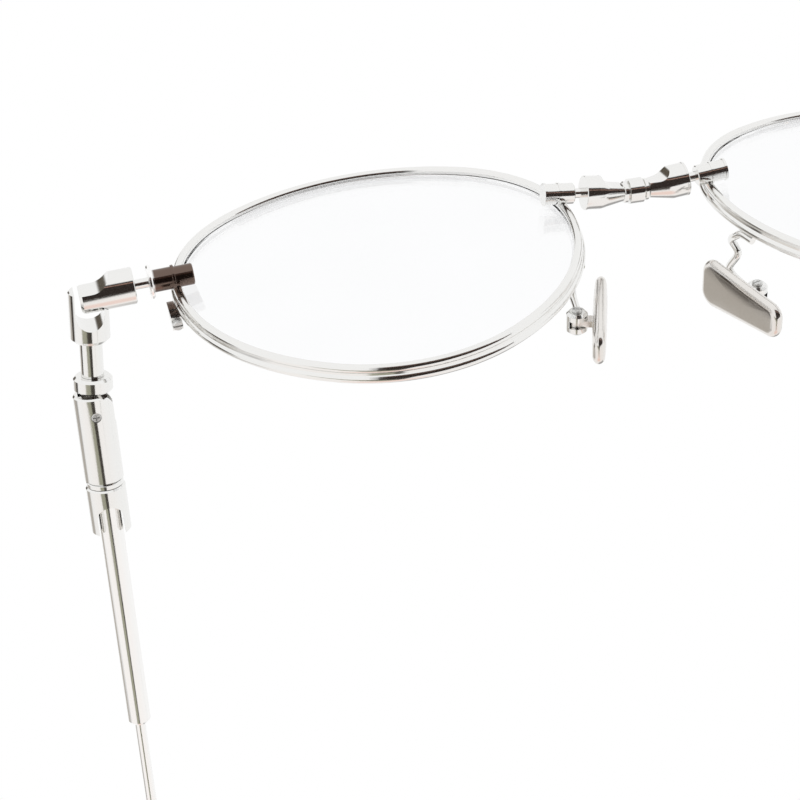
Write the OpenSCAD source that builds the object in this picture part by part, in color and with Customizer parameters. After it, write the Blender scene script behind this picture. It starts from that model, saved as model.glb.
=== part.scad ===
// Round wire-rimmed eyeglasses with turned metal joints, open and standing on rims and ear tips.
// The front faces -Y, the wearer's left is +X, up is +Z and the surface they stand on is z = 0.

/* [Lenses and rims] */
// Mean radius of each lens opening
lens_r = 23; // [21:0.5:26]
// Distance from a lens centre to the three lobe centres that soften its circle
lobe_offset = 5.5; // [2:0.5:8]
// Width between the two lens openings at the nose
nose_gap = 18.7; // [17:0.1:23]
// Lean of the lens planes, top forward
tilt = 7.9; // [0:0.1:12]
// Sweep of each lens plane back towards its temple
wrap = 3.2; // [0:0.1:6]
// Radius of the front bead of the rim
front_bead_r = 0.52; // [0.4:0.02:0.7]
// Radius of the rear bead of the rim
rear_bead_r = 0.55; // [0.45:0.02:0.7]
// How far the front bead's centre lies outside the lens opening
front_bead_out = 0.3; // [0.25:0.01:0.5]
// How far the rear bead's centre lies outside the lens opening
rear_bead_out = 0.55; // [0.5:0.01:0.8]
// Distance between the two beads, front to back
bead_spacing = 1; // [0.9:0.05:1.2]
// Width of the slit that opens the rim at the closing block
rim_slit = 0.2; // [0.1:0.05:0.4]

/* [Lens form] */
// Radius of the front surface of a lens
lens_front_curve = 180; // [120:5:400]
// Radius of the rear surface of a lens
lens_rear_curve = 168; // [110:4:400]
// Thickness of a lens at its edge
lens_edge = 1.4; // [1:0.1:1.8]
// Depth of the bevel that sits in the rim's groove
bevel_depth = 0.35; // [0.2:0.05:0.4]

/* [Bridge] */
// Height of the bridge axis above the lens centres
bridge_up = 5; // [3:0.1:8]
// Distance of the bridge centre in front of the lens centres
bridge_front = 2.35; // [2:0.05:3]
// Angle at which each half of the bridge sweeps forward from the centre
bridge_sweep = 5.5; // [3:0.1:7]
// Length of the centre spool
spool_len = 3.2; // [2:0.1:4]
// Radius of the spool's band
spool_r = 1.5; // [1.3:0.05:2]
// Length of a shouldered link
link_len = 4.5; // [3.5:0.1:5]
// Radius of a shouldered link
link_r = 2; // [1.7:0.05:2.3]
// Radius of a link at the tip that meets the spool
link_tip_r = 1.25; // [0.8:0.05:1.6]
// Length of the full round part of a link
link_round_len = 1.7; // [1:0.1:2.2]
// Depth of the flat that is milled into the front of a link
link_flat = 1.2; // [0.8:0.1:1.8]
// Radius of the thin flange on the outer end of a link
link_flange_r = 2.05; // [1.8:0.05:2.4]

/* [Sleeves on the rims] */
// Radius of the sleeves that grip the rim wire
sleeve_r = 1.25; // [1:0.05:1.35]
// Reach of a sleeve past the lens opening, over the lens
sleeve_in = 2; // [1:0.1:2.5]
// Length of a bridge sleeve
bridge_sleeve_len = 3.7; // [3:0.1:4.5]
// Radius of the rods that join sleeves to links
rod_r = 0.58; // [0.4:0.02:0.8]
// Distance of a sleeve's axis in front of the front bead
sleeve_front = 1.28; // [1.2:0.02:1.6]

/* [End pieces] */
// Height of the end pieces and temples above the lens centres
end_up = 3.3; // [2:0.1:6]
// Length of the sleeve that grips the rim
end_sleeve_len = 2.15; // [1.8:0.05:2.8]
// Length of the slimmer second barrel of the sleeve
end_neck_len = 2.25; // [1.5:0.05:3.5]
// Radius of the second barrel
end_neck_r = 1.3; // [1:0.05:1.4]
// Radius of the thin flange at the second barrel's end
end_flange_r = 2; // [1.6:0.05:2.2]
// Length of the bare rod between the flange and the knuckle
end_rod_len = 1.6; // [1:0.05:2.5]
// Radius of the knuckle
knuckle_r = 2.15; // [1.8:0.05:2.2]
// Length of the knuckle
knuckle_len = 6.4; // [5.8:0.1:6.6]
// Length of the full round part of the knuckle
knuckle_round_len = 2.6; // [2.2:0.05:3.4]
// Depth of the flat that is milled into the front of the knuckle
knuckle_flat = 1.6; // [1.2:0.05:2]

/* [Temple fork and collar] */
// Outward splay of the fork from the temple's line
fork_splay = 4.5; // [0:0.5:6]
// Radius of the fork
fork_r = 2.3; // [2.15:0.05:2.6]
// Length of the ears in front of the knuckle's axis
fork_front = 0.5; // [0.4:0.1:2]
// Length of the fork behind the knuckle's axis
fork_rear = 5.62; // [5.3:0.02:6.5]
// Width of the fork's slot
fork_slot = 3.3; // [3:0.1:3.5]
// Depth of the slot behind the knuckle's axis
slot_depth = 3.8; // [3:0.1:4.4]
// Radius of the neck behind the fork
neck_r = 1.32; // [1:0.02:1.6]
// Radius of the hinge collar
collar_r = 2.28; // [2.1:0.02:2.4]
// Length of the hinge collar
collar_len = 1.75; // [1.4:0.05:2.2]
// Distance from the knuckle's axis to the hinge screw
hinge_back = 14.4; // [13.6:0.1:16]

/* [Hinge] */
// Gap between the collar and the barrel's round front
hinge_gap = 0.4; // [0.3:0.05:0.6]
// Radius of the temple barrel
barrel_r = 2.3; // [2.2:0.05:2.5]
// Length of the barrel behind the hinge screw
barrel_rear = 8.8; // [7:0.1:12]
// Distance of the barrel's front face from the hinge screw
barrel_front = 2.3; // [2:0.05:2.3]
// Thickness of the hinge tongue
tongue_t = 1.3; // [1:0.1:1.6]
// Half width of the hinge tongue
tongue_r = 1.5; // [1.3:0.05:1.6]
// Radius of the hinge screw
hinge_screw_r = 0.58; // [0.45:0.01:0.7]
// Running clearance of moving pieces, each side
clearance = 0.05; // [0.03:0.01:0.08]

/* [Temples] */
// Length of the ring behind the barrel
ring_len = 0.65; // [0.4:0.05:1]
// Length of the pronged sleeve
prong_sleeve_len = 6.15; // [5:0.05:8]
// Radius of the pronged sleeve
prong_sleeve_r = 2.35; // [2.2:0.05:2.6]
// Length of the arched mouth of the pronged sleeve
mouth_len = 3.95; // [2.5:0.05:4.5]
// Radius of the temple bar
bar_r = 1.38; // [1.1:0.02:1.6]
// Distance from the hinge screw to the rear end of the bar
bar_end = 42.6; // [34:0.1:60]
// Radius of the temple rod
temple_rod_r = 0.64; // [0.5:0.02:0.8]
// Distance from the hinge screw to the start of the ear bend
temple_straight = 97; // [80:1:110]
// Radius of the ear bend
ear_bend_r = 14; // [10:1:20]
// Angle of the ear bend
ear_angle = 40; // [30:1:50]
// Length of the ear tip
ear_tip_len = 30; // [20:1:32]
// Radius of the ear tip
ear_tip_r = 1.2; // [1:0.05:2]

/* [Nose pads] */
// Distance between the middles of the two pads
pad_gap = 17; // [15:0.1:20]
// Distance of the pads behind the lens centres
pad_back = 8.35; // [8:0.1:10]
// Distance of the pads below the lens centres
pad_drop = 7; // [6:0.1:9]
// Flare of the pads, wider at the bottom
pad_flare = 18.4; // [12:0.2:24]
// Lean of the pads, bottom backward
pad_lean = 11; // [6:1:16]
// Length of a pad
pad_len = 13.8; // [11:0.1:15]
// Width of a pad's upper end
pad_top_w = 6.2; // [4.8:0.1:6.6]
// Width of a pad's lower end
pad_low_w = 4.4; // [4:0.1:5]
// Thickness of a pad
pad_t = 1.7; // [1:0.1:1.8]
// Distance from a pad's middle to the axis of its screw
pad_screw_out = 2.65; // [2.5:0.05:3]
// Distance of the box's middle behind the pad's middle
pad_box_back = 0.4; // [0:0.1:0.8]
// Radius of the pad box
box_r = 1.25; // [1.1:0.05:1.35]
// Length of the pad box
box_len = 2.7; // [2.2:0.1:3.2]
// Thickness of the tab that sits in the pad box
tab_t = 0.8; // [0.6:0.05:1]
// Radius of the pad screw
pad_screw_r = 0.38; // [0.3:0.02:0.45]
// Radius of the pad arm's wire
arm_r = 0.45; // [0.35:0.01:0.55]

/* [Hidden] */
left = 1;
right = -1;
$fn = 64;
// A cut reaches this far past what it cuts
far = 40;
// Gap left between brazed pieces whose faces are curved, and beside a bent wire
seam = 0.02;
wire_gap = 0.07;
// Bevel on turned edges
edge = 0.2;
// Where arcs meet end to end they stop short by this angle, and a piece this long closes the joint
joint_gap = 0.1;
joint_len = 0.3;
// A joint piece stands this far proud
joint_grow = 0.005;

// Outline of the lens opening: three tight arcs and three flat arcs about the lobe centres
half_chord = lobe_offset * sin(60);
tight_r = lens_r - half_chord;
flat_r = lens_r + half_chord;
lens_x = lens_r + nose_gap / 2;
groove_back = bead_spacing / 2;
lowest_r = lobe_offset + tight_r + rear_bead_out;
eye_z = lowest_r * cos(tilt) - bead_spacing * sin(tilt) + rear_bead_r;

// Closing block on the temple side of the rim
block_top = 2;
block_low = 1.9;
block_w = 1.2;
block_t = 1.6;
block_out = 0.7;
block_back = 1.75;
closing_screw_r = 0.4;
closing_head_r = 0.6;
closing_head_t = 0.7;

// Bridge places, measured along the axis of one half
link_flange_t = 0.3;
link_start = spool_len / 2 + seam;
link_end = link_start + link_len;
flange_end = link_end + link_flange_t;
bridge_sleeve_end = (nose_gap / 2 + sleeve_in) / cos(bridge_sweep);
bridge_sleeve_start = bridge_sleeve_end - bridge_sleeve_len;
link_shoulder_r = 1.6;
knuckle_shoulder_r = 2.3;

// End piece places, measured outward from the lens centre
end_sleeve_start = lens_r - sleeve_in + 0.2;
end_ring_t = 0.35;
end_neck_start = end_sleeve_start + end_sleeve_len + end_ring_t;
end_flange_start = end_neck_start + end_neck_len;
end_flange_t = 0.5;
end_rod_start = end_flange_start + end_flange_t;
knuckle_start = end_rod_start + end_rod_len;
knuckle_tip = 1.05;
knuckle_axis = knuckle_start + knuckle_len - knuckle_tip;
end_front = sleeve_front + end_up * tan(tilt);

// Hinge places, measured from the hinge screw
collar_rear = barrel_r + hinge_gap;
collar_front = collar_rear + collar_len;
relief_r = barrel_r + 0.05;
tongue_slot_r = tongue_r + 0.22;
ring_start = barrel_rear + seam;
prong_start = ring_start + ring_len + seam;
prong_end = prong_start + prong_sleeve_len;
bar_start = prong_start + 0.6;
bar_socket = 2;
ring_r = barrel_r - 0.12;

// Hinge screw in the frame of the lens centres
crossing = [
    lens_x + knuckle_axis * cos(wrap) + end_front * sin(wrap),
    knuckle_axis * sin(wrap) - end_front * cos(wrap)
];
hinge_at = crossing + hinge_back * [sin(fork_splay), cos(fork_splay)];

// Ear bend and tail: the tail runs down to the surface that the rims stand on
tail_drop = end_up + eye_z - ear_tip_r;
tail_len = (tail_drop - ear_bend_r * (1 - cos(ear_angle))) / sin(ear_angle);
tail_rear = temple_straight + ear_bend_r * sin(ear_angle) + tail_len * cos(ear_angle);

// The origin lies midway between the bridge's front and the rear of the ear tips
front_y = -bridge_front - flange_end * sin(bridge_sweep) - link_flange_r * cos(bridge_sweep);
rear_y = hinge_at[1] + tail_rear + ear_tip_r;
mid_y = (front_y + rear_y) / 2;

// Pad places in the pad's own frame: x outward, y backward, z up
box_slot = tab_t + 2 * clearance;
tab_r = 0.85;
pad_edge = 0.55;
// How far a pad's middle lies below its screw
pad_sag = 0.5;

// Places every piece on one side of the face, in the frame of the lens centres
module on(side) {
    translate([0, -mid_y, eye_z])
        if (side > 0)
            children();
        else
            mirror([1, 0, 0]) children();
}

// Frame of one lens: x towards the temple, y up, z forward
module lens_plane() {
    translate([lens_x, 0, 0]) rotate([0, 0, wrap]) rotate([90 + tilt, 0, 0]) children();
}

// Frame of one end piece: x outward along its axis
module end_frame() {
    translate([lens_x, 0, 0]) rotate([0, 0, wrap]) translate([0, -end_front, end_up]) children();
}

// Frame of one bridge half: x outward along its axis
module bridge_frame() {
    translate([0, -bridge_front, bridge_up]) rotate([0, 0, -bridge_sweep]) children();
}

// Frame of the fork: y backward along its axis, origin where it crosses the knuckle
module fork_frame() {
    translate([crossing[0], crossing[1], end_up]) rotate([0, 0, -fork_splay]) children();
}

// Frame of the temple: y backward along its axis, origin at the hinge screw
module temple_frame() {
    translate([hinge_at[0], hinge_at[1], end_up]) children();
}

// Frame of the tail: z along the tail towards its tip, origin at the end of the bend
module tail_frame() {
    temple_frame()
        translate([0, temple_straight + ear_bend_r * sin(ear_angle), -ear_bend_r * (1 - cos(ear_angle))])
            rotate([-90 - ear_angle, 0, 0]) children();
}

// Frame of one nose pad: x outward from the nose, y backward, z up
module pad_frame() {
    translate([pad_gap / 2, pad_back, -pad_drop]) rotate([pad_lean, 0, 0]) rotate([0, -pad_flare, 0]) children();
}

// Frame of the pad's screw: z backward along the screw
module pad_screw_frame() {
    pad_frame() translate([pad_screw_out, pad_box_back, 0]) rotate([-90, 0, 0]) children();
}

module along_x() {
    rotate([0, 90, 0]) children();
}

module along_y() {
    rotate([-90, 0, 0]) children();
}

// Turned bar between two heights, with a bevel at each end
module turned(r, from, to, bevel_a = 0, bevel_b = 0) {
    rotate_extrude()
        polygon([
            [0, from], [r - bevel_a, from], [r, from + bevel_a],
            [r, to - bevel_b], [r - bevel_b, to], [0, to]
        ]);
}

// Sweeps a section, the first child, round the lens opening; its x is measured outward from the opening.
// The six arcs stop just short of each other, and the second child closes each joint.
module round_opening() {
    for (lobe_at = [30, 150, 270])
        translate([lobe_offset * cos(lobe_at), lobe_offset * sin(lobe_at), 0]) {
            arc_from(lobe_at - 30) translate([tight_r, 0]) children(0);
            arc_from(lobe_at + 150) translate([flat_r, 0]) children(0);
            joint_at(lobe_at - 30) translate([tight_r, 0]) children(1);
            joint_at(lobe_at + 30) translate([tight_r, 0]) children(1);
        }
}

module arc_from(start) {
    rotate([0, 0, start + joint_gap]) rotate_extrude(angle = 60 - 2 * joint_gap) children();
}

module joint_at(angle) {
    rotate([0, 0, angle]) rotate([90, 0, 0]) linear_extrude(joint_len, center = true) children();
}

module rim_section(grow = 0) {
    translate([front_bead_out, 0]) circle(r = front_bead_r + grow);
    translate([rear_bead_out, -bead_spacing]) circle(r = rear_bead_r + grow);
    translate([front_bead_out - 0.1, -bead_spacing * 0.75]) square([0.6, bead_spacing / 2]);
}

// The rim's own space with a thin seam round it, cut from what is brazed on
module rim_seat() {
    lens_plane()
        round_opening() {
            rim_section(seam);
            rim_section(seam + joint_grow);
        }
}

// A sleeve sits over the rim, so it also ends at the middle of the front bead
module sleeve_seat() {
    rim_seat();
    lens_plane() translate([-far, -far, -far]) cube([2 * far, 2 * far, far]);
}

module rim(side) {
    color("silver")
        on(side) lens_plane()
            difference() {
                round_opening() {
                    rim_section();
                    rim_section(joint_grow);
                }
                translate([lens_r - 2, -rim_slit / 2, -3]) cube([5, rim_slit, 6]);
            }
}

// Half section of the lens blank about a lobe centre, with the bevel on its edge
module lens_section(arc_r, inner = 0) {
    edge_r = arc_r + 0.05;
    body_r = edge_r - bevel_depth;
    polygon([
        [inner, 4], [body_r, 4], [body_r, 0.25 - groove_back], [edge_r, -groove_back],
        [body_r, -0.3 - groove_back], [body_r, -4], [inner, -4]
    ]);
}

module lens_blank() {
    for (lobe_at = [30, 150, 270])
        translate([lobe_offset * cos(lobe_at), lobe_offset * sin(lobe_at), 0]) {
            arc_from(lobe_at - 30) lens_section(tight_r);
            arc_from(lobe_at + 150) lens_section(flat_r);
            joint_at(lobe_at - 30) lens_section(tight_r + joint_grow, -0.5);
            joint_at(lobe_at + 30) lens_section(tight_r + joint_grow, -0.5);
        }
}

// Depth of the dome that a sphere makes over the lens opening
function dome(curve) = curve - sqrt(curve * curve - lens_r * lens_r);

module lens(side) {
    front_edge = -0.25;
    color("aliceblue", 0.35)
        on(side) lens_plane()
            difference() {
                intersection() {
                    lens_blank();
                    translate([0, 0, front_edge + dome(lens_front_curve) - lens_front_curve])
                        sphere(r = lens_front_curve, $fn = 360);
                }
                translate([0, 0, front_edge - lens_edge + dome(lens_rear_curve) - lens_rear_curve])
                    sphere(r = lens_rear_curve, $fn = 360);
            }
}

// Frame of the closing block: x outward, y back, z up, on the rim's temple side
module block_frame() {
    translate([lens_x, 0, 0])
        rotate([0, 0, wrap])
            rotate([tilt, 0, 0])
                translate([lens_r + block_out + block_w / 2, block_back, 0]) children();
}

module closing_block(side) {
    color("silver")
        on(side)
            difference() {
                block_frame() {
                    translate([-block_w / 2, -block_t / 2, rim_slit / 2]) cube([block_w, block_t, block_top]);
                    translate([-block_w / 2, -block_t / 2, -block_low]) cube([block_w, block_t, block_low - rim_slit / 2]);
                }
                rim_seat();
                block_frame() cylinder(r = closing_screw_r + seam, h = far, center = true);
            }
}

module closing_screw(side) {
    color("gainsboro")
        on(side) block_frame()
            difference() {
                union() {
                    translate([0, 0, -block_low - closing_head_t / 2])
                        cylinder(r = closing_screw_r, h = block_top + block_low + closing_head_t / 2 - 0.2);
                    translate([0, 0, -block_low - closing_head_t])
                        turned(closing_head_r, 0, closing_head_t - seam, 0.15, 0);
                }
                translate([0, 0, -block_low - closing_head_t])
                    cube([far, 0.22, 0.5], center = true);
            }
}

// A flange in the middle with a band on each side of it
module bridge_spool() {
    half = spool_len / 2;
    color("silver")
        on(left) translate([0, -bridge_front, bridge_up]) along_x()
            rotate_extrude()
                polygon([
                    [0, -half], [spool_r - 0.35, -half], [spool_r - 0.2, -half + 0.15],
                    [spool_r - 0.2, -half + 0.5], [spool_r - 0.5, -half + 0.55], [spool_r - 0.5, -half + 0.7],
                    [spool_r, -half + 0.75], [spool_r, half - 0.75],
                    [spool_r - 0.5, half - 0.7], [spool_r - 0.5, half - 0.55], [spool_r - 0.2, half - 0.5],
                    [spool_r - 0.2, half - 0.15], [spool_r - 0.35, half], [0, half]
                ]);
}

// Removes the front of a link from a hollow shoulder onwards; x runs towards the tip
module milled_front(shoulder_at, shoulder_r, r, depth) {
    flat_y = depth - r;
    translate([shoulder_at + shoulder_r, flat_y - shoulder_r, 0])
        cylinder(r = shoulder_r, h = far, center = true);
    translate([shoulder_at + shoulder_r, flat_y - far, -far / 2]) cube([far, far, far]);
}

module bridge_link(side) {
    color("silver")
        on(side)
            difference() {
                bridge_frame() {
                    along_x()
                        rotate_extrude()
                            polygon([
                                [0, link_start], [link_tip_r, link_start],
                                [link_r, link_end - link_round_len], [link_r, link_end], [0, link_end]
                            ]);
                    along_x() turned(link_flange_r, link_end, flange_end, 0, 0.08);
                }
                bridge_frame() mirror([1, 0, 0])
                    milled_front(link_round_len - link_end, link_shoulder_r, link_r, link_flat);
                cube([spool_len + 2 * seam, far, far], center = true);
            }
}

module bridge_rod(side) {
    color("silver")
        on(side) bridge_frame() along_x() turned(rod_r, flange_end, bridge_sleeve_start);
}

module bridge_sleeve(side) {
    middle = (bridge_sleeve_start + bridge_sleeve_end) / 2;
    color("silver")
        on(side)
            difference() {
                bridge_frame() along_x() {
                    turned(sleeve_r, bridge_sleeve_start, bridge_sleeve_end, 0.1, 0);
                    turned(sleeve_r + 0.1, middle - 0.12, middle + 0.12);
                    turned(sleeve_r + 0.12, bridge_sleeve_end - 0.25, bridge_sleeve_end);
                }
                sleeve_seat();
            }
}

module end_sleeve(side) {
    sleeve_end = end_sleeve_start + end_sleeve_len;
    color("silver")
        on(side)
            difference() {
                end_frame() along_x() {
                    turned(sleeve_r, end_sleeve_start, sleeve_end, 0.12, 0);
                    turned(sleeve_r + 0.22, sleeve_end, end_neck_start, 0.05, 0.05);
                    turned(end_neck_r, end_neck_start, end_flange_start);
                    turned(end_flange_r, end_flange_start, end_rod_start, 0.15, 0.15);
                }
                rim_seat();
            }
}

module end_rod(side) {
    color("silver")
        on(side) end_frame() along_x() turned(rod_r, end_rod_start, knuckle_start);
}

module end_knuckle(side) {
    tip_bevel = 0.3;
    color("silver")
        on(side) end_frame() translate([knuckle_start, 0, 0])
            difference() {
                along_x() turned(knuckle_r, 0, knuckle_len, 0.12, tip_bevel);
                milled_front(knuckle_round_len, knuckle_shoulder_r, knuckle_r, knuckle_flat);
            }
}

module temple_fork(side) {
    slot_r = fork_slot / 2;
    color("silver")
        on(side)
            difference() {
                fork_frame() along_y() turned(fork_r, -fork_front, fork_rear, 0.15, 0.45);
                fork_frame() translate([0, slot_depth - slot_r, 0])
                    cylinder(r = slot_r, h = far, center = true);
                fork_frame() translate([-slot_r, slot_depth - slot_r - far, -far / 2])
                    cube([fork_slot, far, far]);
                fork_frame() translate([-far, -far, -far / 2]) cube([far, far, far]);
                end_frame() along_x()
                    turned(knuckle_r + seam, knuckle_start - 1, knuckle_axis + 0.3);
            }
}

module fork_neck(side) {
    neck_end = hinge_back - collar_front;
    color("silver")
        on(side) fork_frame() along_y() turned(neck_r, fork_rear, neck_end - seam);
}

module hinge_collar(side) {
    color("silver")
        on(side) fork_frame() translate([0, hinge_back - collar_front, 0]) along_y()
            turned(collar_r, 0, collar_len, 0.3, edge);
}

module hinge_tongue(side) {
    color("silver")
        on(side) fork_frame() translate([0, hinge_back, 0])
            difference() {
                union() {
                    cylinder(r = tongue_r, h = tongue_t, center = true);
                    translate([-tongue_r, -collar_rear, -tongue_t / 2])
                        cube([2 * tongue_r, collar_rear, tongue_t]);
                }
                cylinder(r = hinge_screw_r + clearance, h = far, center = true);
            }
}

// The slot lets the tongue swing from straight ahead to the inner side
module temple_barrel(side) {
    slot_t = tongue_t + 2 * clearance;
    color("silver")
        on(side) temple_frame()
            difference() {
                along_y() turned(barrel_r, -barrel_front, barrel_rear, 0.2, 0.25);
                difference() {
                    translate([-far, -far, -far / 2]) cube([far, far, far]);
                    cylinder(r = relief_r, h = far, center = true);
                }
                cylinder(r = tongue_slot_r, h = slot_t, center = true);
                translate([-far, -far, -slot_t / 2]) cube([far + tongue_slot_r, far, slot_t]);
                translate([-far, -tongue_slot_r, -slot_t / 2]) cube([far, 2 * tongue_slot_r, slot_t]);
                cylinder(r = hinge_screw_r + seam, h = far, center = true);
            }
}

// Screw with a cross recess in the head that faces down
module hinge_screw(side) {
    head_z = -barrel_r + 0.02;
    color("gainsboro")
        on(side) temple_frame()
            difference() {
                translate([0, 0, head_z]) turned(hinge_screw_r, 0, 2 * barrel_r - 0.1, 0.1, 0.1);
                translate([0, 0, head_z]) {
                    cube([0.8, 0.16, 0.5], center = true);
                    cube([0.16, 0.8, 0.5], center = true);
                }
            }
}

module temple_ring(side) {
    color("silver")
        on(side) temple_frame() along_y() turned(ring_r, ring_start, ring_start + ring_len, 0.1, 0.1);
}

module prong_sleeve(side) {
    mouth_w = 2 * bar_r + 0.3;
    color("silver")
        on(side) temple_frame()
            difference() {
                along_y() turned(prong_sleeve_r, prong_start, prong_end, edge, 0.3);
                along_y() turned(bar_r + seam, bar_start - seam, prong_end + 1);
                translate([0, prong_end - mouth_len + mouth_w / 2, 0])
                    cylinder(r = mouth_w / 2, h = far, center = true);
                translate([-mouth_w / 2, prong_end - mouth_len + mouth_w / 2, -far / 2])
                    cube([mouth_w, far, far]);
            }
}

module temple_bar(side) {
    color("silver")
        on(side) temple_frame() along_y()
            difference() {
                turned(bar_r, bar_start, bar_end, 0, 0.5);
                turned(temple_rod_r + seam, bar_end - bar_socket - seam, bar_end + 1);
            }
}

module wire_joint() {
    cylinder(r = temple_rod_r + joint_grow, h = joint_len, center = true);
}

// Straight rod, ear bend and the start of the tail, inside the ear tip
module temple_rod(side) {
    color("silver")
        on(side) {
            temple_frame() along_y()
                turned(temple_rod_r, bar_end - bar_socket, temple_straight - joint_gap);
            temple_frame()
                translate([0, temple_straight, -ear_bend_r])
                    rotate([90, 0, 90])
                        rotate([0, 0, 90 - ear_angle + joint_gap])
                            rotate_extrude(angle = ear_angle - 2 * joint_gap)
                                translate([ear_bend_r, 0]) circle(r = temple_rod_r);
            tail_frame() turned(temple_rod_r, joint_gap, tail_len - ear_tip_len / 2);
            temple_frame() translate([0, temple_straight - joint_gap / 2, 0]) along_y() wire_joint();
            tail_frame() wire_joint();
        }
}

module ear_tip(side) {
    socket_end = tail_len - ear_tip_len / 2 + seam;
    color("silver")
        on(side) tail_frame()
            difference() {
                union() {
                    turned(ear_tip_r, tail_len - ear_tip_len, tail_len, 0.5, 0);
                    translate([0, 0, tail_len]) sphere(r = ear_tip_r);
                }
                turned(temple_rod_r + seam, 0, socket_end);
            }
}

// Point on the nose side of the left rim: angle about the temple-side lobe centre, outward and back
function tilted(p) = [p[0], p[1] * cos(tilt) - p[2] * sin(tilt), p[1] * sin(tilt) + p[2] * cos(tilt)];
function wrapped(p) = [lens_x + p[0] * cos(wrap) - p[1] * sin(wrap), p[0] * sin(wrap) + p[1] * cos(wrap), p[2]];
function rim_point(angle, out, back) = wrapped(tilted([
    lobe_offset * cos(30) + (flat_r + out) * cos(angle),
    back,
    lobe_offset * sin(30) + (flat_r + out) * sin(angle)
]));
function flared(p) = [p[0] * cos(pad_flare) - p[2] * sin(pad_flare), p[1], p[0] * sin(pad_flare) + p[2] * cos(pad_flare)];
function leaned(p) = [p[0], p[1] * cos(pad_lean) - p[2] * sin(pad_lean), p[1] * sin(pad_lean) + p[2] * cos(pad_lean)];
function pad_point(p) = [pad_gap / 2, pad_back, -pad_drop] + leaned(flared(p));

// Route of the left pad arm: along the rear of the rim, round a loop, and down into the box
arm_back = bead_spacing + rear_bead_r + arm_r + wire_gap;
box_top = pad_point([pad_screw_out, pad_box_back, box_r + seam]);
box_up = pad_point([pad_screw_out, pad_box_back, box_r + 1]);
rim_low = rim_point(200, rear_bead_out, arm_back);
rim_high = rim_point(196, rear_bead_out, arm_back);
arm_route = [
    rim_low, rim_high,
    rim_high + [-0.35, 0.5, 1.1], rim_high + [-0.3, 1.5, 2.6], rim_high + [0.3, 3.1, 2.1],
    box_up + [-0.5, -0.9, 3.6], box_up, box_top
];

// Smooth curve through four points
function between(a, b, c, d, t) = 0.5 * (
    2 * b + (c - a) * t + (2 * a - 5 * b + 4 * c - d) * t * t + (3 * b - a - 3 * c + d) * t * t * t
);
function smooth(route, steps) = let (last = len(route) - 1) [
    for (i = [0 : last - 1]) for (s = [0 : steps - 1])
        between(route[max(i - 1, 0)], route[i], route[i + 1], route[min(i + 2, last)], s / steps),
    route[last]
];
function unit(v) = v / norm(v);
function headings(path) = let (last = len(path) - 1) [
    for (i = [0 : last]) unit(path[min(i + 1, last)] - path[max(i - 1, 0)])
];
// Side directions carried along the path without twist
function carry(heads, i, side) = let (flat = unit(side - (side * heads[i]) * heads[i]))
    i == len(heads) - 1 ? [flat] : concat([flat], carry(heads, i + 1, flat));

module wire(path, r, sides) {
    heads = headings(path);
    across = carry(heads, 0, [0, 1, 0.3]);
    last = len(path) - 1;
    rings = [
        for (i = [0 : last]) for (k = [0 : sides - 1])
            path[i] + r * (cos(360 * k / sides) * across[i] + sin(360 * k / sides) * cross(heads[i], across[i]))
    ];
    walls = [
        for (i = [0 : last - 1]) for (k = [0 : sides - 1])
            [i * sides + k, i * sides + (k + 1) % sides, (i + 1) * sides + (k + 1) % sides, (i + 1) * sides + k]
    ];
    caps = [
        [for (k = [sides - 1 : -1 : 0]) k],
        [for (k = [0 : sides - 1]) last * sides + k]
    ];
    polyhedron(rings, concat(walls, caps), convexity = 6);
}

module pad_arm(side) {
    color("silver")
        on(side) wire(smooth(arm_route, 5), arm_r, 12);
}

// Small round box with a slot for the pad's tab, open towards the pad
module pad_box(side) {
    half = box_len / 2;
    color("silver")
        on(side) pad_screw_frame()
            difference() {
                turned(box_r, -half, half, 0.3, 0.3);
                translate([-far, -far / 2, -box_slot / 2]) cube([far + tab_r + 0.1, far, box_slot]);
                cylinder(r = pad_screw_r + seam, h = far, center = true);
            }
}

module pad_screw(side) {
    half = box_len / 2;
    head_r = 0.6;
    head_t = 0.3;
    color("gainsboro")
        on(side) pad_screw_frame()
            difference() {
                union() {
                    translate([0, 0, -half - seam]) cylinder(r = pad_screw_r, h = box_len);
                    turned(head_r, -half - head_t - seam, -half - seam, 0.1, 0);
                }
                translate([0, 0, -half - head_t]) cube([far, 0.16, 0.3], center = true);
            }
}

// Tab that turns on the pad screw and carries the pad
module pad_tab(side) {
    reach = pad_screw_out - pad_t / 2 - seam;
    color("silver")
        on(side) pad_screw_frame()
            difference() {
                union() {
                    cylinder(r = tab_r, h = tab_t, center = true);
                    translate([-reach, -tab_r * 0.8, -tab_t / 2]) cube([reach, tab_r * 1.6, tab_t]);
                }
                cylinder(r = pad_screw_r + clearance, h = far, center = true);
            }
}

// One rounded corner of a pad, centred on its middle plane
module pad_corner(y, z, r) {
    translate([0, y, z]) along_x()
        rotate_extrude($fn = 32)
            hull() {
                translate([r - pad_edge, 0]) circle(r = pad_edge, $fn = 16);
                translate([0, -pad_t / 2]) square([0.1, pad_t]);
            }
}

module nose_pad(side) {
    top_r = 1.9;
    low_r = 1.7;
    color("lightgray")
        on(side) pad_frame()
            intersection() {
                translate([0, 0, -pad_sag])
                    hull() {
                        pad_corner(pad_top_w / 2 - top_r + 0.4, pad_len / 2 - top_r, top_r);
                        pad_corner(top_r - pad_top_w / 2 + 0.4, pad_len / 2 - top_r, top_r);
                        pad_corner(pad_low_w / 2 - low_r, low_r - pad_len / 2, low_r);
                        pad_corner(low_r - pad_low_w / 2, low_r - pad_len / 2, low_r);
                    }
                cube([pad_t, far, far], center = true);
            }
}

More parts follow.
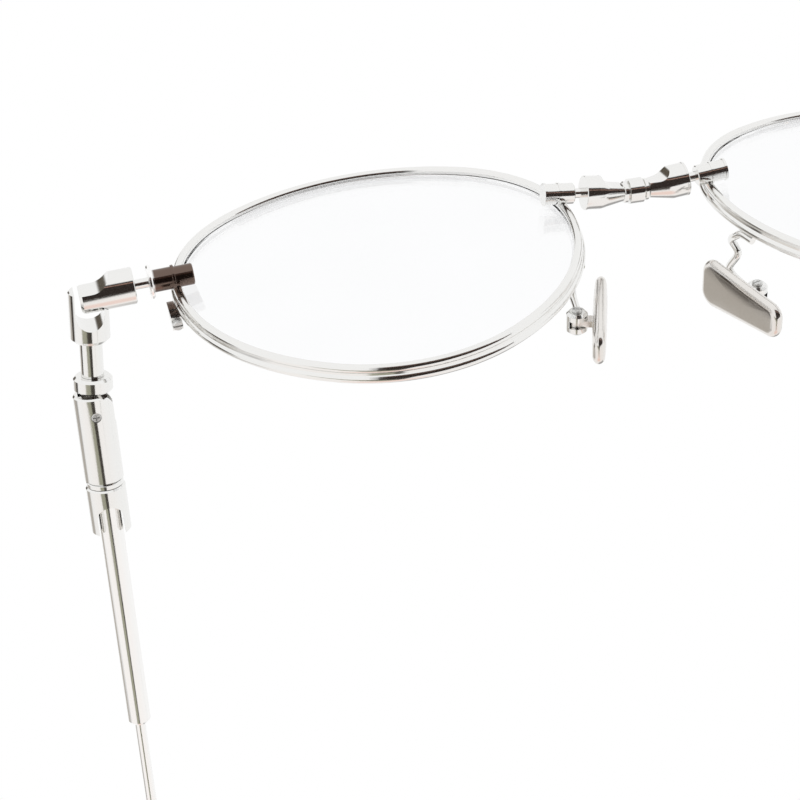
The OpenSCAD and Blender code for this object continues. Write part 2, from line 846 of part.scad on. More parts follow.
rim(left);  // left_rim
rim(right);  // right_rim
lens(left);  // left_lens
lens(right);  // right_lens
closing_block(left);  // left_closing_block
closing_block(right);  // right_closing_block
closing_screw(left);  // left_closing_screw
closing_screw(right);  // right_closing_screw
bridge_spool();
bridge_link(left);  // left_bridge_link
bridge_link(right);  // right_bridge_link
bridge_rod(left);  // left_bridge_rod
bridge_rod(right);  // right_bridge_rod
bridge_sleeve(left);  // left_bridge_sleeve
bridge_sleeve(right);  // right_bridge_sleeve
end_sleeve(left);  // left_end_sleeve
end_sleeve(right);  // right_end_sleeve
end_rod(left);  // left_end_rod
end_rod(right);  // right_end_rod
end_knuckle(left);  // left_end_knuckle
end_knuckle(right);  // right_end_knuckle
temple_fork(left);  // left_temple_fork
temple_fork(right);  // right_temple_fork
fork_neck(left);  // left_fork_neck
fork_neck(right);  // right_fork_neck
hinge_collar(left);  // left_hinge_collar
hinge_collar(right);  // right_hinge_collar
hinge_tongue(left);  // left_hinge_tongue
hinge_tongue(right);  // right_hinge_tongue
temple_barrel(left);  // left_temple_barrel
temple_barrel(right);  // right_temple_barrel
hinge_screw(left);  // left_hinge_screw
hinge_screw(right);  // right_hinge_screw
temple_ring(left);  // left_temple_ring
temple_ring(right);  // right_temple_ring
prong_sleeve(left);  // left_prong_sleeve
prong_sleeve(right);  // right_prong_sleeve
temple_bar(left);  // left_temple_bar
temple_bar(right);  // right_temple_bar
temple_rod(left);  // left_temple_rod
temple_rod(right);  // right_temple_rod
ear_tip(left);  // left_ear_tip
ear_tip(right);  // right_ear_tip
pad_arm(left);  // left_pad_arm
pad_arm(right);  // right_pad_arm
pad_box(left);  // left_pad_box
pad_box(right);  // right_pad_box
pad_screw(left);  // left_pad_screw
pad_screw(right);  // right_pad_screw
pad_tab(left);  // left_pad_tab
pad_tab(right);  // right_pad_tab
nose_pad(left);  // left_nose_pad
nose_pad(right);  // right_nose_pad
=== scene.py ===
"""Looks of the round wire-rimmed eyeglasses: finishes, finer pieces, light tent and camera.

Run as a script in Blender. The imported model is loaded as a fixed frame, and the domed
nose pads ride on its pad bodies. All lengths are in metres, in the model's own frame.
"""

import math

import bpy
from mathutils import Matrix, Vector


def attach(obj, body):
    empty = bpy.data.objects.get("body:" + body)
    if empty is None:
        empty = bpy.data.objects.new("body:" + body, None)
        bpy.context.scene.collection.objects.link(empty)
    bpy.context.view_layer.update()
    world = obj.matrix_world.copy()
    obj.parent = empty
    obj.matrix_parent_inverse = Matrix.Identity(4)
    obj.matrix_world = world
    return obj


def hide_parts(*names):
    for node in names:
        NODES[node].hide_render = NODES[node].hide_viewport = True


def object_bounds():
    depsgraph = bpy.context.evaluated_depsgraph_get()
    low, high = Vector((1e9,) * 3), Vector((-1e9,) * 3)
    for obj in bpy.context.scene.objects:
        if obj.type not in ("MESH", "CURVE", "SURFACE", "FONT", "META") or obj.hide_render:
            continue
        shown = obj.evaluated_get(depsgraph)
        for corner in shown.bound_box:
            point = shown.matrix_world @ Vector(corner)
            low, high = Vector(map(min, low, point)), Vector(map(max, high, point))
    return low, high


bl_info = {
    "name": "Round eyeglasses",
    "version": (1, 0, 0),
    "blender": (4, 5, 0),
    "location": "3D View > Sidebar > Eyeglasses",
    "description": "Finishes, stage and camera of a pair of round wire-rimmed eyeglasses",
    "category": "Object",
}

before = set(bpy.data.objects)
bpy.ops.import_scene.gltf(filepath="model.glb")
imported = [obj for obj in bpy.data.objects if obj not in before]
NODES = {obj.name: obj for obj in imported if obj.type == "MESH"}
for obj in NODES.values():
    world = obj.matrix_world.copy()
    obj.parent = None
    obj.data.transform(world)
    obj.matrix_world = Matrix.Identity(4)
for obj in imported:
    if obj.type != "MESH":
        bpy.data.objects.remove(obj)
CAD_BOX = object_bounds()
SIDES = ("left", "right")

# The camera's place and its three directions, in the model's frame.
CAMERA_PLACE = Vector((-0.073089, -0.154262, -0.198019))
CAMERA_RIGHT = Vector((0.9737, 0.0736, -0.2155))
CAMERA_UP = Vector((0.1531, -0.9121, 0.3803))
CAMERA_AHEAD = Vector((0.1686, 0.4033, 0.8994))

# The camera's sensor width in millimetres, and its clipping distances in metres.
CAMERA_SENSOR = 36
CAMERA_CLIP = (0.01, 20)

# Outlines of the tent's cards, to the right of the camera and up from it: its dark mouth, the
# mouth's long tail, a grey card to the tail's left, a grey strip to its right, and a thin seam.
TENT_MOUTH = ((-0.05, 0.12), (0.25, 0.16), (0.7, 0.13), (0.7, -0.07), (0.25, -0.12),
              (0.07, -0.19), (-0.05, -0.19))
TENT_TAIL = ((0.07, -0.19), (0.06, -0.7), (0.03, -0.7), (0.015, -0.4), (-0.05, -0.27),
             (-0.16, -0.19))
TENT_SIDE = ((-0.38, -0.2), (0.02, -0.2), (0.02, -0.7), (-0.08, -0.7), (-0.18, -0.35),
             (-0.34, -0.27))
TENT_STRIP = ((0.37, -0.24), (0.42, -0.24), (0.41, -0.33), (0.38, -0.33))
TENT_SEAM = ((-0.05, 0.07), (0.6, 0.09), (0.6, 0.105), (-0.05, 0.085))
# The mouth's colour as shares of its brightness.
MOUTH_HUE = (1.5, 1.0, 0.8)
# The other cards: name, outline, distance behind the camera, tone and width of the soft edge.
TENT_CARDS = (
    ("tent_tail", TENT_TAIL, 0.01, (0.05, 0.043, 0.035), 0.012),
    ("tent_seam", TENT_SEAM, 0.008, (0.55, 0.33, 0.26), 0.0),
    ("tent_side", TENT_SIDE, 0.012, (0.36, 0.355, 0.275), 0.035),
    ("tent_strip", TENT_STRIP, 0.012, (0.4, 0.4, 0.35), 0.02),
)
MOUTH_BEHIND = 0.01
MOUTH_SOFT = 0.03

# Soft patches of the tent: heading, how far each reaches in degrees, full and faded, and tone.
TENT_PATCHES = (
    ("gap_above", (-0.405, -0.166, 0.896), 9, 16, (0.1, 0.085, 0.065)),
    ("gap_side", (-0.68, 0.43, 0.59), 8, 20, (0.48, 0.45, 0.41)),
    ("gap_far", (-0.895, 0.214, 0.391), 5, 14, (0.03, 0.02, 0.012)),
    ("warm_below", (-0.153, 0.912, -0.38), 10, 26, (0.95, 0.74, 0.67)),
)
# The tent below turns a little warm between these slopes to the camera's down.
WARM_RANGE = (0.2, 0.9)
WARM_TONE = (1.0, 0.965, 0.945)
# Soft boxes behind the part: how many, the waves between which a gap fades, and its tone.
BOX_COUNT = 4.0
BOX_FADE = (-0.55, -0.1)
BOX_GAP_TONE = 0.4
# The boxes fade in with the heading's height and towards the back, and end at the roof.
BOX_HIGH = (0.0, 0.2)
BOX_BACK = (0.42, 0.6)
ROOF_RANGE = (0.55, 0.8)
ROOF_TONE = 0.98

# The floor reaches this far from the middle, and lies this much under the feet.
FLOOR_HALF = 3.0
FLOOR_BELOW = 0.0001

# Handling marks on metal: noise and its detail, the part of it that counts, and how it changes
# the roughness; then the detail, strength and depth of the fine grain.
HANDLING_SCALE = 160.0
HANDLING_DETAIL = 3.0
HANDLING_RANGE = (0.35, 0.7)
HANDLING_LEAST = 0.8
GRAIN_DETAIL = 4.0
GRAIN_STRENGTH = 0.05
GRAIN_DEPTH = 0.00002
# Finishes: wear added to the roughness, size of the grain, and its stretch along the piece.
EVEN_GRAIN = (1.0, 1.0, 1.0)
FRAME_WEAR = (0.05, 0.0004, EVEN_GRAIN)
BAR_WEAR = (0.06, 0.0003, (1.0, 0.02, 1.0))
STEEL_WEAR = (0.1, 0.0002, EVEN_GRAIN)
PAD_WEAR = (0.1, 0.0005, EVEN_GRAIN)
STEEL_ROUGHNESS = 0.16
# Roughness of the end sleeves' metal, which carries the painted dark reflection.
END_SLEEVE_ROUGHNESS = 0.2
PAD_ROUGHNESS = 0.18
# Lenses: noise of the faint smears, the light that they let through, and the glass's index.
SMEAR_SCALE = 90.0
SMEAR_DETAIL = 2.0
SMEAR_LEAST = 0.98
LENS_INDEX = 1.5

# Faces that meet at a larger angle than this keep a sharp edge, in degrees.
SHARP_EDGE = 32
TAB_EDGE = 50
WIRE_EDGE = 60
# Points of a CAD mesh that lie closer than this are one point to the shading.
WELD_DISTANCE = 0.0000005

# The end sleeves carry a painted dark reflection: brown up to this distance from the middle, fading
# over the next.
PAINTED_REFLECTION_END = 0.0581
PAINTED_REFLECTION_FADE = 0.0003

# Nose pads, in millimetres and degrees: place and turn of the left one, its outline's corner
# discs (along y, along z, radius), and the middle of its face.
MILLIMETRE = 0.001
PAD_PLACE = (8.5, -63.869, 17.469)
PAD_FLARE = 18.4
PAD_LEAN = 11
PAD_CORNERS = ((1.6, 4.5, 1.9), (-0.8, 4.5, 1.9), (-0.5, -5.7, 1.7), (0.5, -5.7, 1.7))
PAD_MIDDLE = (0.2, -0.5)
# Half the thickness, how the faces sag away from the middle across and along, and the width
# and power of the rounding at the edge.
PAD_HALF = 0.85
PAD_SAG = (0.024, 0.0025)
PAD_ROUND = 1.0
PAD_ROUND_POWER = 2.5
PAD_OUTLINE_STEPS = 96
PAD_ROUND_ROWS = 12
PAD_FACE_ROWS = 9


class EyeglassFinish(bpy.types.PropertyGroup):
    """Colours and polish of the metal, the lenses and the pads."""

    silver: bpy.props.FloatVectorProperty(
        name="Silver", description="Reflected colour of the plated frame metal",
        subtype="COLOR", size=3, min=0, max=1, default=(0.985, 0.98, 0.974))
    silver_polish: bpy.props.FloatProperty(
        name="Silver roughness", description="Micro roughness of the plated frame metal",
        subtype="FACTOR", min=0, max=1, default=0.07)
    bar_silver: bpy.props.FloatVectorProperty(
        name="Bar silver", description="Reflected colour of the temple bars and rods",
        subtype="COLOR", size=3, min=0, max=1, default=(0.92, 0.912, 0.9))
    bar_polish: bpy.props.FloatProperty(
        name="Bar roughness", description="Micro roughness of the temple bars and rods",
        subtype="FACTOR", min=0, max=1, default=0.12)
    # The end sleeves' dark brown beside the lens is a painted reflection, not a colour of the
    # metal.
    painted_reflection_brown: bpy.props.FloatVectorProperty(
        name="Painted reflection brown", description="Reflected colour of the end sleeves beside the lens",
        subtype="COLOR", size=3, min=0, max=1, default=(0.16, 0.115, 0.095))
    screw_steel: bpy.props.FloatVectorProperty(
        name="Screw steel", description="Reflected colour of the screw heads",
        subtype="COLOR", size=3, min=0, max=1, default=(0.7, 0.7, 0.7))
    pad_metal: bpy.props.FloatVectorProperty(
        name="Pad metal", description="Reflected colour of the nose pads",
        subtype="COLOR", size=3, min=0, max=1, default=(0.8, 0.775, 0.745))
    lens_tint: bpy.props.FloatVectorProperty(
        name="Lens tint", description="Colour that the lens lets through",
        subtype="COLOR", size=3, min=0, max=1, default=(0.985, 0.988, 0.995))


class EyeglassStage(bpy.types.PropertyGroup):
    """Light tent, floor and camera."""

    tent_strength: bpy.props.FloatProperty(
        name="Tent strength", description="Strength of the white tent, where 1 is white",
        min=0, soft_max=2, default=1.0)
    mouth_tone: bpy.props.FloatProperty(
        name="Tent mouth", description="Brightness of the tent's dark mouth round the camera",
        subtype="FACTOR", min=0, max=1, default=0.015)
    floor_tone: bpy.props.FloatProperty(
        name="Floor", description="Brightness of the pale floor, which shows from above only",
        subtype="FACTOR", min=0, max=1, default=0.86)
    focal_length: bpy.props.FloatProperty(
        name="Focal length", description="Camera's focal length on a 36 mm sensor, in millimetres",
        min=10, default=93.9)


def finish():
    return bpy.context.scene.eyeglass_finish


def stage():
    return bpy.context.scene.eyeglass_stage


class Tree:
    """Short names for adding and joining the nodes of a material or world."""

    def __init__(self, tree):
        self.tree = tree
        tree.nodes.clear()

    def add(self, kind, **settings):
        node = self.tree.nodes.new(kind)
        inputs = settings.pop("inputs", {})
        for name, value in settings.items():
            setattr(node, name, value)
        for name, value in inputs.items():
            if isinstance(value, bpy.types.NodeSocket):
                self.tree.links.new(value, node.inputs[name])
            else:
                node.inputs[name].default_value = value
        return node

    def math(self, operation, *values):
        node = self.tree.nodes.new("ShaderNodeMath")
        node.operation = operation
        for i, value in enumerate(values):
            if isinstance(value, bpy.types.NodeSocket):
                self.tree.links.new(value, node.inputs[i])
            else:
                node.inputs[i].default_value = value
        return node.outputs[0]


def material(name):
    """A new material and its emptied tree."""
    made = bpy.data.materials.new(name)
    made.use_nodes = True
    return made, Tree(made.node_tree)


def metal(name, colour, roughness, wear):
    """Polished metal whose micro roughness and surface vary a little along its grain.

    The colour is one colour, or a function that makes its socket from the tree and the place.
    """
    added, grain_size, stretch = wear
    made, t = material(name)
    place = t.add("ShaderNodeTexCoord")
    scaled = t.add("ShaderNodeMapping", inputs={
        "Vector": place.outputs["Object"], "Scale": stretch})
    grain = t.add("ShaderNodeTexNoise", inputs={
        "Vector": scaled.outputs["Vector"], "Scale": 1 / grain_size, "Detail": GRAIN_DETAIL})
    handling = t.add("ShaderNodeTexNoise", inputs={
        "Vector": place.outputs["Object"], "Scale": HANDLING_SCALE, "Detail": HANDLING_DETAIL})
    rough = t.add("ShaderNodeMapRange", inputs={
        "Value": handling.outputs["Fac"],
        "From Min": HANDLING_RANGE[0], "From Max": HANDLING_RANGE[1],
        "To Min": roughness * HANDLING_LEAST, "To Max": roughness + added})
    bump = t.add("ShaderNodeBump", inputs={
        "Height": grain.outputs["Fac"], "Strength": GRAIN_STRENGTH, "Distance": GRAIN_DEPTH})
    base = colour(t, place) if callable(colour) else (*colour, 1.0)
    shine = t.add("ShaderNodeBsdfPrincipled", inputs={
        "Metallic": 1.0, "Base Color": base,
        "Roughness": rough.outputs["Result"], "Normal": bump.outputs["Normal"]})
    t.add("ShaderNodeOutputMaterial", inputs={"Surface": shine.outputs["BSDF"]})
    return made


def lens_glass(name, tint):
    """Clear coated lens: thin see-through glass that reflects a little more at a slant."""
    made, t = material(name)
    place = t.add("ShaderNodeTexCoord")
    smear = t.add("ShaderNodeTexNoise", inputs={
        "Vector": place.outputs["Object"], "Scale": SMEAR_SCALE, "Detail": SMEAR_DETAIL})
    film = t.add("ShaderNodeMapRange", inputs={
        "Value": smear.outputs["Fac"], "To Min": SMEAR_LEAST, "To Max": 1.0})
    colour = t.add("ShaderNodeMix", data_type="RGBA", blend_type="MULTIPLY", inputs={
        "Factor": 1.0, "A": (*tint, 1.0), "B": film.outputs["Result"]})
    glass = t.add("ShaderNodeBsdfPrincipled", inputs={
        "Base Color": colour.outputs[2], "Roughness": 0.0,
        "IOR": LENS_INDEX, "Transmission Weight": 1.0})
    t.add("ShaderNodeOutputMaterial", inputs={"Surface": glass.outputs["BSDF"]})
    return made


def dress(node_name, finish_material, sharp=SHARP_EDGE):
    """Gives a CAD node its finish, and shades its curved faces smooth."""
    node = NODES[node_name]
    node.data.materials.clear()
    node.data.materials.append(finish_material)
    for face in node.data.polygons:
        face.use_smooth = True
    joined = node.modifiers.new("joined", "WELD")
    joined.merge_threshold = WELD_DISTANCE
    split = node.modifiers.new("sharp_edges", "EDGE_SPLIT")
    split.split_angle = math.radians(sharp)
    return node


def both(*pieces):
    """Names of the left and right node of each piece."""
    return [f"{side}_{piece}" for piece in pieces for side in SIDES]


def silver():
    found = bpy.data.materials.get("frame_silver")
    return found or metal("frame_silver", finish().silver, finish().silver_polish, FRAME_WEAR)


def bar_silver():
    found = bpy.data.materials.get("bar_silver")
    return found or metal("bar_silver", finish().bar_silver, finish().bar_polish, BAR_WEAR)


def screw_steel():
    found = bpy.data.materials.get("screw_steel")
    return found or metal("screw_steel", finish().screw_steel, STEEL_ROUGHNESS, STEEL_WEAR)


def silver_with_painted_reflection():
    """Frame metal with a painted dark brown reflection on the end sleeves beside the lens."""
    # Painted reflection: the sleeve's colour turns dark brown within the given distance from the
    # middle.
    def tint(t, place):
        split = t.add("ShaderNodeSeparateXYZ", inputs={"Vector": place.outputs["Object"]})
        share = t.add("ShaderNodeMapRange", interpolation_type="SMOOTHSTEP", inputs={
            "Value": t.math("ABSOLUTE", split.outputs["X"]),
            "From Min": PAINTED_REFLECTION_END + PAINTED_REFLECTION_FADE, "From Max": PAINTED_REFLECTION_END})
        mix = t.add("ShaderNodeMix", data_type="RGBA", inputs={
            "Factor": share.outputs["Result"],
            "A": (*finish().silver, 1.0), "B": (*finish().painted_reflection_brown, 1.0)})
        return mix.outputs[2]

    found = bpy.data.materials.get("silver_with_painted_reflection")
    return found or metal("silver_with_painted_reflection", tint, END_SLEEVE_ROUGHNESS, FRAME_WEAR)


class EYEGLASS_OT_rims(bpy.types.Operator):
    """Polishes the rims, the closing blocks and their screws"""
    bl_idname = "eyeglass.rims"
    bl_label = "Rims"

    def execute(self, context):
        for name in both("rim", "closing_block"):
            dress(name, silver())
        for name in both("closing_screw"):
            dress(name, screw_steel())
        return {"FINISHED"}


class EYEGLASS_OT_lenses(bpy.types.Operator):
    """Makes the lenses of clear coated glass"""
    bl_idname = "eyeglass.lenses"
    bl_label = "Lenses"

    def execute(self, context):
        glass = lens_glass("lens_glass", finish().lens_tint)
        for name in both("lens"):
            lens = dress(name, glass)
            even = lens.modifiers.new("even_normals", "WEIGHTED_NORMAL")
            even.keep_sharp = True
            lens.visible_shadow = False
        return {"FINISHED"}


class EYEGLASS_OT_bridge(bpy.types.Operator):
    """Polishes the spool, links, rods and sleeves of the bridge"""
    bl_idname = "eyeglass.bridge"
    bl_label = "Bridge"

    def execute(self, context):
        for name in ["bridge_spool"] + both("bridge_link", "bridge_rod", "bridge_sleeve"):
            dress(name, silver())
        return {"FINISHED"}


class EYEGLASS_OT_end_pieces(bpy.types.Operator):
    """Polishes the end pieces, forks, necks and collars"""
    bl_idname = "eyeglass.end_pieces"
    bl_label = "End pieces"

    def execute(self, context):
        # The end sleeves get a painted dark brown reflection beside the lens.
        for name in both("end_sleeve"):
            dress(name, silver_with_painted_reflection())
        for name in both("end_rod", "end_knuckle", "temple_fork",
                         "fork_neck", "hinge_collar", "hinge_tongue"):
            dress(name, silver())
        return {"FINISHED"}


class EYEGLASS_OT_temples(bpy.types.Operator):
    """Polishes the barrels, rings, pronged sleeves, bars, rods and ear tips"""
    bl_idname = "eyeglass.temples"
    bl_label = "Temples"

    def execute(self, context):
        for name in both("temple_barrel", "temple_ring", "prong_sleeve"):
            dress(name, silver())
        for name in both("temple_bar", "temple_rod", "ear_tip"):
            dress(name, bar_silver())
        for name in both("hinge_screw"):
            dress(name, screw_steel())
        return {"FINISHED"}


def pad_outline():
    """Points and outward directions round a pad: the hull of its corner discs."""
    for i in range(PAD_OUTLINE_STEPS):
        turn = 2 * math.pi * i / PAD_OUTLINE_STEPS
        ahead = (math.cos(turn), math.sin(turn))
        y, z, r = max(PAD_CORNERS, key=lambda c: c[0] * ahead[0] + c[1] * ahead[1] + c[2])
        yield (y + r * ahead[0], z + r * ahead[1]), ahead


def pad_mesh(name, side):
    """A rounded, slightly domed metal pad; x is its thickness."""
    outline = list(pad_outline())
    count = len(outline)
    # Each row: how far in from the outline, share of the thickness, share of the way out.
    rows = []
    for k in range(PAD_ROUND_ROWS + 1):
        left = math.cos(math.radians(90 * k / PAD_ROUND_ROWS))
        rows.append((PAD_ROUND * (1 - left), math.sqrt(1 - left ** PAD_ROUND_POWER), 1.0))
    for k in range(1, PAD_FACE_ROWS):
        rows.append((PAD_ROUND, 1.0, 1 - k / PAD_FACE_ROWS))
    rows = [(inset, -share, rho) for inset, share, rho in reversed(rows[1:])] + rows
    verts, faces = [], []
    for inset, share, rho in rows:
        for point, ahead in outline:
            y, z = (m + (c - a * inset - m) * rho for c, a, m in zip(point, ahead, PAD_MIDDLE))
            sag = PAD_SAG[0] * (y - PAD_MIDDLE[0]) ** 2 + PAD_SAG[1] * (z - PAD_MIDDLE[1]) ** 2
            verts.append(((PAD_HALF - sag) * share, y, z))
    for row in range(len(rows) - 1):
        for i in range(count):
            j = (i + 1) % count
            faces.append((row * count + i, row * count + j,
                          (row + 1) * count + j, (row + 1) * count + i))
    last = (len(rows) - 1) * count
    faces.append(tuple(reversed(range(count))))
    faces.append(tuple(last + i for i in range(count)))
    mesh = bpy.data.meshes.new(name)
    mesh.from_pydata([tuple(c * MILLIMETRE for c in v) for v in verts], [], faces)
    turned = (Matrix.Rotation(math.radians(PAD_LEAN), 4, "X")
              @ Matrix.Rotation(math.radians(-PAD_FLARE), 4, "Y"))
    mesh.transform(Matrix.Translation(Vector(PAD_PLACE) * MILLIMETRE) @ turned)
    if side == "right":
        mesh.transform(Matrix.Scale(-1, 4, (1, 0, 0)))
        mesh.flip_normals()
    for face in mesh.polygons:
        face.use_smooth = True
    return mesh


class EYEGLASS_OT_nose_pads(bpy.types.Operator):
    """Makes the nose pads with their arms, boxes, tabs and screws"""
    bl_idname = "eyeglass.nose_pads"
    bl_label = "Nose pads"

    def execute(self, context):
        pad = metal("pad_metal", finish().pad_metal, PAD_ROUGHNESS, PAD_WEAR)
        for side in SIDES:
            name = f"{side}_nose_pad"
            mesh = pad_mesh(name + "_domed", side)
            mesh.materials.append(pad)
            piece = bpy.data.objects.new(name + "_domed", mesh)
            context.scene.collection.objects.link(piece)
            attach(piece, f"{side}_pad")
            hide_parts(name)
        for name in both("pad_tab"):
            dress(name, pad, sharp=TAB_EDGE)
        for name in both("pad_arm"):
            dress(name, silver(), sharp=WIRE_EDGE)
        for name in both("pad_box"):
            dress(name, silver())
        for name in both("pad_screw"):
            dress(name, screw_steel())
        return {"FINISHED"}


def reflected_only(obj):
    """The piece of the tent shows in reflections, and nowhere else."""
    obj.visible_camera = False
    obj.visible_diffuse = False
    obj.visible_shadow = False
    obj.visible_transmission = False
    obj.visible_volume_scatter = False


def tent_card(name, outline, behind, tone, soft):
    """A card near the camera, drawn in the camera's directions, that metal reflects.

    Its edge fades out over the soft width.
    """
    centre = CAMERA_PLACE - CAMERA_AHEAD * behind
    middle = [sum(c) / len(outline) for c in zip(*outline)]
    fringe = [[m + (c - m) * (1 + soft / math.dist(point, middle)) for m, c in zip(middle, point)]
              for point in outline]
    corners = [centre + CAMERA_RIGHT * right + CAMERA_UP * up
               for right, up in (*outline, *fringe)]
    count = len(outline)
    faces = [tuple(range(count))]
    if soft:
        faces += [(i, (i + 1) % count, (i + 1) % count + count, i + count)
                  for i in range(count)]
    mesh = bpy.data.meshes.new(name)
    mesh.from_pydata([tuple(c) for c in corners], [], faces)
    cover = mesh.attributes.new("cover", "FLOAT", "POINT")
    for i, point in enumerate(cover.data):
        point.value = 1.0 if i < count else 0.0
    card = bpy.data.objects.new(name, mesh)
    bpy.context.scene.collection.objects.link(card)
    made, t = material(name)
    covered = t.add("ShaderNodeAttribute", attribute_name="cover")
    clear = t.add("ShaderNodeBsdfTransparent")
    glow = t.add("ShaderNodeEmission", inputs={"Color": (*tone, 1.0), "Strength": 1.0})
    faded = t.add("ShaderNodeMixShader", inputs={
        0: covered.outputs["Fac"], 1: clear.outputs["BSDF"], 2: glow.outputs["Emission"]})
    t.add("ShaderNodeOutputMaterial", inputs={"Surface": faded.outputs["Shader"]})
    mesh.materials.append(made)
    reflected_only(card)


def tent_world():
    """White tent below, soft boxes with grey gaps between them above."""
    world = bpy.data.worlds.new("white_tent")
    bpy.context.scene.world = world
    world.use_nodes = True
    t = Tree(world.node_tree)
    place = t.add("ShaderNodeTexCoord")
    heading = place.outputs["Generated"]
    down = t.add("ShaderNodeVectorMath", operation="DOT_PRODUCT", inputs={
        0: heading, 1: tuple(-CAMERA_UP)})
    warm = t.add("ShaderNodeMapRange", interpolation_type="SMOOTHSTEP", inputs={
        "Value": down.outputs["Value"], "From Min": WARM_RANGE[0], "From Max": WARM_RANGE[1]})
    lower = t.add("ShaderNodeMix", data_type="RGBA", inputs={
        "Factor": warm.outputs["Result"], "A": (1.0, 1.0, 1.0, 1.0), "B": (*WARM_TONE, 1.0)})
    split = t.add("ShaderNodeSeparateXYZ", inputs={"Vector": heading})
    turn = t.math("ARCTAN2", split.outputs["Y"], split.outputs["X"])
    wave = t.math("SINE", t.math("MULTIPLY", turn, BOX_COUNT))
    box = t.add("ShaderNodeMapRange", interpolation_type="SMOOTHSTEP", inputs={
        "Value": wave, "From Min": BOX_FADE[0], "From Max": BOX_FADE[1],
        "To Min": BOX_GAP_TONE, "To Max": 1.0})
    high = t.add("ShaderNodeMapRange", interpolation_type="SMOOTHSTEP", inputs={
        "Value": split.outputs["Z"], "From Min": BOX_HIGH[0], "From Max": BOX_HIGH[1]})
    behind = t.add("ShaderNodeMapRange", interpolation_type="SMOOTHSTEP", inputs={
        "Value": split.outputs["Y"], "From Min": BOX_BACK[0], "From Max": BOX_BACK[1]})
    above = t.math("MULTIPLY", high.outputs["Result"], behind.outputs["Result"])
    roof = t.add("ShaderNodeMapRange", interpolation_type="SMOOTHSTEP", inputs={
        "Value": split.outputs["Z"], "From Min": ROOF_RANGE[0], "From Max": ROOF_RANGE[1]})
    boxes = t.add("ShaderNodeMix", data_type="RGBA", blend_type="MULTIPLY", inputs={
        "Factor": above, "A": lower.outputs[2], "B": box.outputs["Result"]})
    ceiling = t.add("ShaderNodeMix", data_type="RGBA", inputs={
        "Factor": roof.outputs["Result"], "A": (1.0, 1.0, 1.0, 1.0),
        "B": (ROOF_TONE, ROOF_TONE, ROOF_TONE, 1.0)})
    tent = t.add("ShaderNodeMix", data_type="RGBA", inputs={
        "Factor": roof.outputs["Result"], "A": boxes.outputs[2], "B": ceiling.outputs[2]})
    for name, toward, full, faded, tone in TENT_PATCHES:
        near = t.add("ShaderNodeVectorMath", operation="DOT_PRODUCT", inputs={
            0: heading, 1: tuple(Vector(toward).normalized())})
        share = t.add("ShaderNodeMapRange", interpolation_type="SMOOTHSTEP", inputs={
            "Value": near.outputs["Value"], "From Min": math.cos(math.radians(faded)),
            "From Max": math.cos(math.radians(full))})
        tent = t.add("ShaderNodeMix", name=name, data_type="RGBA", inputs={
            "Factor": share.outputs["Result"], "A": tent.outputs[2], "B": (*tone, 1.0)})
    seen = t.add("ShaderNodeLightPath")
    lit = t.add("ShaderNodeBackground", inputs={
        "Color": tent.outputs[2], "Strength": stage().tent_strength})
    even = t.add("ShaderNodeBackground", inputs={"Color": (1.0, 1.0, 1.0, 1.0), "Strength": 1.0})
    mirrored = t.math("MULTIPLY", seen.outputs["Is Glossy Ray"],
                      t.math("SUBTRACT", 1.0, seen.outputs["Is Transmission Ray"]))
    reflects = t.add("ShaderNodeMixShader", inputs={
        0: mirrored, 1: even.outputs["Background"], 2: lit.outputs["Background"]})
    t.add("ShaderNodeOutputWorld", inputs={"Surface": reflects.outputs["Shader"]})


def pale_floor():
    """A pale floor just under the feet, which shows from above and takes a soft shadow."""
    corners = [(x * FLOOR_HALF, y * FLOOR_HALF, 0) for x, y in ((-1, -1), (1, -1), (1, 1), (-1, 1))]
    mesh = bpy.data.meshes.new("floor")
    mesh.from_pydata(corners, [], [(0, 1, 2, 3)])
    floor = bpy.data.objects.new("floor", mesh)
    floor.location.z = CAD_BOX[0][2] - FLOOR_BELOW
    bpy.context.scene.collection.objects.link(floor)
    made, t = material("floor")
    tone = stage().floor_tone
    side = t.add("ShaderNodeNewGeometry")
    pale = t.add("ShaderNodeBsdfDiffuse", inputs={"Color": (tone, tone, tone, 1.0)})
    clear = t.add("ShaderNodeBsdfTransparent")
    one_sided = t.add("ShaderNodeMixShader", inputs={
        0: side.outputs["Backfacing"], 1: pale.outputs["BSDF"], 2: clear.outputs["BSDF"]})
    t.add("ShaderNodeOutputMaterial", inputs={"Surface": one_sided.outputs["Shader"]})
    mesh.materials.append(made)
    floor.visible_glossy = False
    floor.visible_diffuse = False
    floor.visible_shadow = False


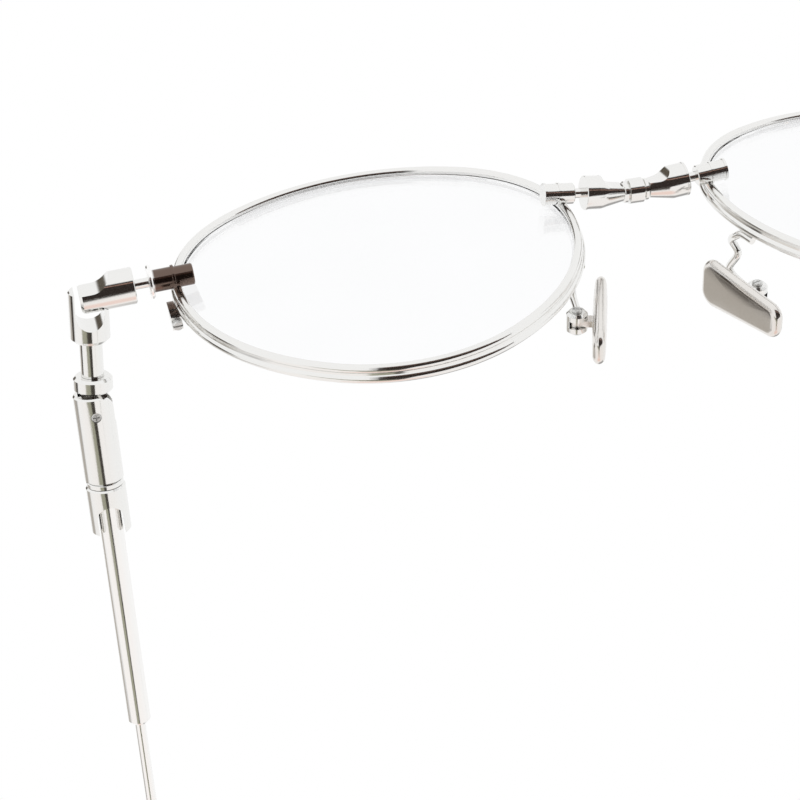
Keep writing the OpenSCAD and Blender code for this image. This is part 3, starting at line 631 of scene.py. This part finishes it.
class EYEGLASS_OT_stage(bpy.types.Operator):
    """Makes the light tent, the floor and the camera"""
    bl_idname = "eyeglass.stage"
    bl_label = "Stage"

    def execute(self, context):
        s = stage()
        context.scene.view_settings.view_transform = "Standard"
        camera_data = bpy.data.cameras.new("camera")
        camera_data.sensor_width = CAMERA_SENSOR
        camera_data.lens = s.focal_length
        camera_data.clip_start, camera_data.clip_end = CAMERA_CLIP
        camera = bpy.data.objects.new("camera", camera_data)
        context.scene.collection.objects.link(camera)
        turned = Matrix((CAMERA_RIGHT, CAMERA_UP, -CAMERA_AHEAD)).transposed()
        camera.matrix_world = Matrix.Translation(CAMERA_PLACE) @ turned.to_4x4()
        context.scene.camera = camera
        tent_world()
        pale_floor()
        brown = tuple(s.mouth_tone * share for share in MOUTH_HUE)
        tent_card("tent_mouth", TENT_MOUTH, MOUTH_BEHIND, brown, MOUTH_SOFT)
        for card in TENT_CARDS:
            tent_card(*card)
        return {"FINISHED"}


OPERATORS = (EYEGLASS_OT_stage, EYEGLASS_OT_rims, EYEGLASS_OT_lenses, EYEGLASS_OT_bridge,
             EYEGLASS_OT_end_pieces, EYEGLASS_OT_temples, EYEGLASS_OT_nose_pads)


class EYEGLASS_PT_panel(bpy.types.Panel):
    """Sizes, colours and pieces of the eyeglasses"""
    bl_idname = "EYEGLASS_PT_panel"
    bl_label = "Eyeglasses"
    bl_space_type = "VIEW_3D"
    bl_region_type = "UI"
    bl_category = "Eyeglasses"

    def draw(self, context):
        for group in (context.scene.eyeglass_finish, context.scene.eyeglass_stage):
            for name in group.__annotations__:
                self.layout.prop(group, name)
        for operator in OPERATORS:
            self.layout.operator(operator.bl_idname)


CLASSES = (EyeglassFinish, EyeglassStage, *OPERATORS, EYEGLASS_PT_panel)


def register():
    for cls in CLASSES:
        bpy.utils.register_class(cls)
    bpy.types.Scene.eyeglass_finish = bpy.props.PointerProperty(type=EyeglassFinish)
    bpy.types.Scene.eyeglass_stage = bpy.props.PointerProperty(type=EyeglassStage)


def unregister():
    del bpy.types.Scene.eyeglass_stage
    del bpy.types.Scene.eyeglass_finish
    for cls in reversed(CLASSES):
        bpy.utils.unregister_class(cls)


def main():
    register()
    bpy.ops.eyeglass.stage()
    bpy.ops.eyeglass.rims()
    bpy.ops.eyeglass.lenses()
    bpy.ops.eyeglass.bridge()
    bpy.ops.eyeglass.end_pieces()
    bpy.ops.eyeglass.temples()
    bpy.ops.eyeglass.nose_pads()


if __name__ == "__main__":
    main()
